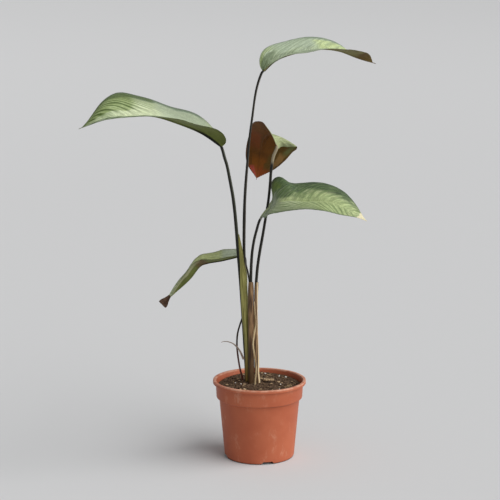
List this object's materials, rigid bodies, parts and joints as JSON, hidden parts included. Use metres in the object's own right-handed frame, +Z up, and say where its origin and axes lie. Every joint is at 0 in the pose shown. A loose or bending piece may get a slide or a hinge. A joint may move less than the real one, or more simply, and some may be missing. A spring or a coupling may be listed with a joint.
{
  "type": "potted ctenanthe setosa",
  "caption": "Prayer plant with long stalks, striped lance-shaped leaves with olive and brown undersides, in a round plastic nursery pot.",
  "frame": {"origin": "centre of the pot's underside, on the surface it stands on", "axes": "+Z up; -Y towards the viewer of the picture, +X to that viewer's right"},
  "size_m": [0.3696, 0.1638, 0.5381],
  "materials": {
    "pot": "satin moulded terracotta colour with fine scuffs",
    "soil": "matt, dark, crumbly",
    "bark": "matt, weathered",
    "upper_leaf": "satin, grey-green with dark herringbone stripes, olive beneath",
    "brown_leaf": "satin red-brown underside, green above",
    "stalk": "satin, nearly black green",
    "red_stalk": "satin, dull red-brown",
    "green_sheath": "satin, olive green with fine lengthwise lines",
    "brown_sheath": "matt, dry brown",
    "straw": "matt, dry straw",
    "dried_sheath": "matt, dry grey-brown"
  },
  "bodies": {
    "root": {"pot": "pot", "soil": "soil", "bark_chip": "bark", "blade_left": "upper_leaf", "blade_top": "upper_leaf", "blade_back": "brown_leaf", "blade_right": "upper_leaf", "blade_low": "upper_leaf", "petiole_left": "stalk", "petiole_top": "stalk", "petiole_back": "stalk", "petiole_right": "stalk", "petiole_low": "red_stalk", "sheath_green": "green_sheath", "sheath_brown": "brown_sheath", "sheath_straw": "straw", "sheath_strip": "straw", "sheath_sliver": "dried_sheath"}
  },
  "joints": []
}
